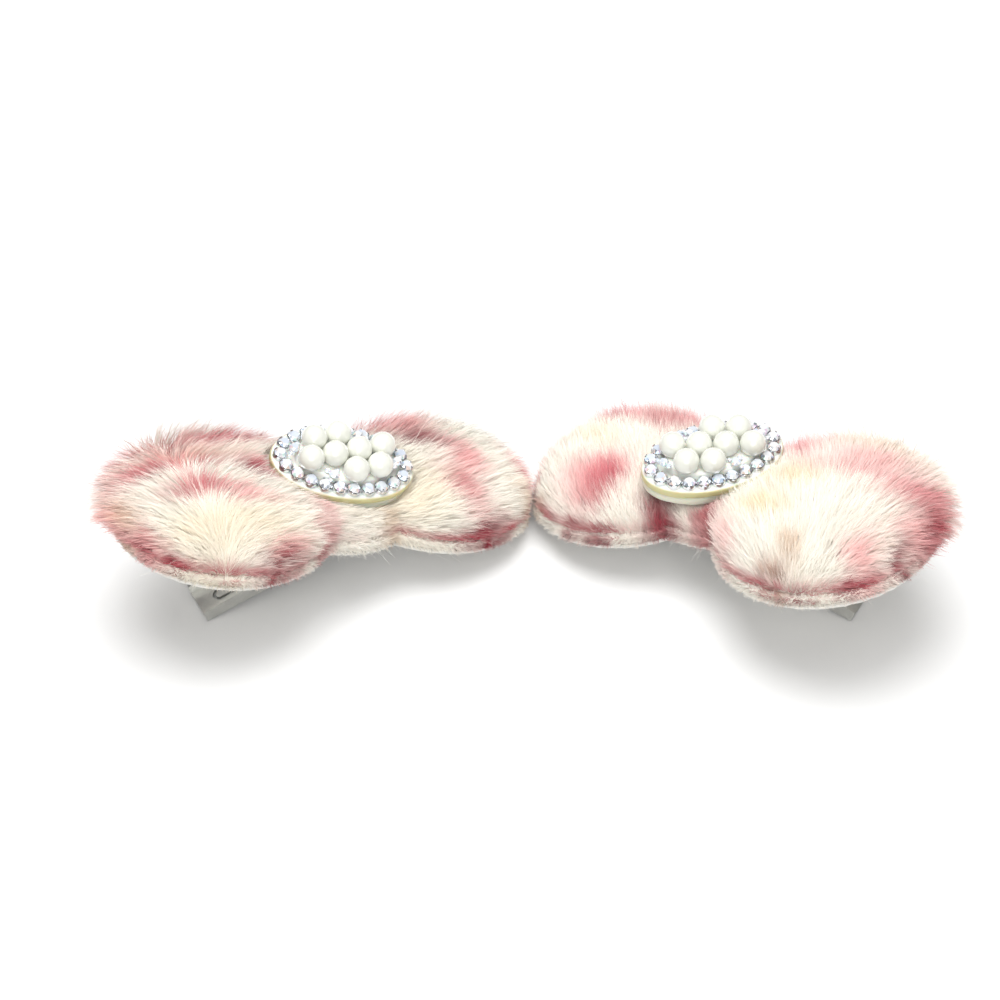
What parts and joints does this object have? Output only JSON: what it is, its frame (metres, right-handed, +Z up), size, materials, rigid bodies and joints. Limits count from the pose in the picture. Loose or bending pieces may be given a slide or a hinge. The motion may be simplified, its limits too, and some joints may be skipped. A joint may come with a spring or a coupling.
{
  "type": "plush bow hair clips",
  "caption": "Mirrored pair of padded plush bow hair clips with oval pearl and rhinestone ornaments on sprung steel alligator clips.",
  "frame": {"origin": "on the floor under the centre of the pair's bounding box", "axes": "+X along the pair from the left clip to the right clip, +Y away from the front edge, +Z up from the surface the clips lie on"},
  "size_m": [0.153, 0.0612, 0.0332],
  "materials": {
    "plush_upper": "cream and rose printed plush",
    "plush_lower": "rose and cream printed plush",
    "felt": "white felt",
    "fibre_fill": "white fibre filling",
    "ornament_glue": "milky glue pad",
    "ornament_plate": "ivory moulded plate",
    "cup_metal": "silver plated",
    "crystal": "clear with an iridescent coating",
    "crystal_small": "clear",
    "pearl": "pearlescent ivory",
    "clip_glue": "hot glue",
    "clip_steel": "bright nickel plate",
    "pin_steel": "nickel plate",
    "spring_steel": "bright wire"
  },
  "bodies": {
    "left_jaw": {"left_lower_arm": "clip_steel"},
    "left_bow": {"left_felt_backing": "felt", "left_plush_underlay": "plush_lower", "left_outer_filling": "fibre_fill", "left_inner_filling": "fibre_fill", "left_plush_cover": "plush_upper", "left_ornament_pad": "ornament_glue", "left_ornament_plate": "ornament_plate", "left_cup_ring": "cup_metal", "left_ring_stones": "crystal", "left_filler_stones": "crystal_small", "left_pearl_1": "pearl", "left_pearl_2": "pearl", "left_pearl_3": "pearl", "left_pearl_4": "pearl", "left_pearl_5": "pearl", "left_pearl_6": "pearl", "left_pearl_7": "pearl", "left_pearl_8": "pearl", "left_glue_bead": "clip_glue", "left_upper_arm": "clip_steel", "left_pivot_pin": "pin_steel", "left_clip_spring": "spring_steel"},
    "right_jaw": {"right_lower_arm": "clip_steel"},
    "right_bow": {"right_felt_backing": "felt", "right_plush_underlay": "plush_lower", "right_outer_filling": "fibre_fill", "right_inner_filling": "fibre_fill", "right_plush_cover": "plush_upper", "right_ornament_pad": "ornament_glue", "right_ornament_plate": "ornament_plate", "right_cup_ring": "cup_metal", "right_ring_stones": "crystal", "right_filler_stones": "crystal_small", "right_pearl_1": "pearl", "right_pearl_2": "pearl", "right_pearl_3": "pearl", "right_pearl_4": "pearl", "right_pearl_5": "pearl", "right_pearl_6": "pearl", "right_pearl_7": "pearl", "right_pearl_8": "pearl", "right_glue_bead": "clip_glue", "right_upper_arm": "clip_steel", "right_pivot_pin": "pin_steel", "right_clip_spring": "spring_steel"}
  },
  "joints": [
    {"name": "left_jaw_hinge", "type": "hinge", "parent": "left_jaw", "child": "left_bow", "pos_m": [-0.03773, 0.00368, 0.00825], "axis": [0.4695, -0.8829, 0], "range_deg": [0, 25], "stiffness_Nm_per_rad": 0.1, "springref_deg": -34.38, "deforming": ["left_clip_spring"]},
    {"name": "right_clip_slide", "type": "slide", "parent": "left_jaw", "child": "right_jaw", "axis": [1, 0, 0], "range_m": [0, 0.05]},
    {"name": "right_jaw_hinge", "type": "hinge", "parent": "right_jaw", "child": "right_bow", "pos_m": [0.04008, 0.00463, 0.00825], "axis": [0.5026, 0.8642, -0.0209], "range_deg": [0, 25], "stiffness_Nm_per_rad": 0.1, "springref_deg": -34.38, "deforming": ["right_clip_spring"]}
  ]
}
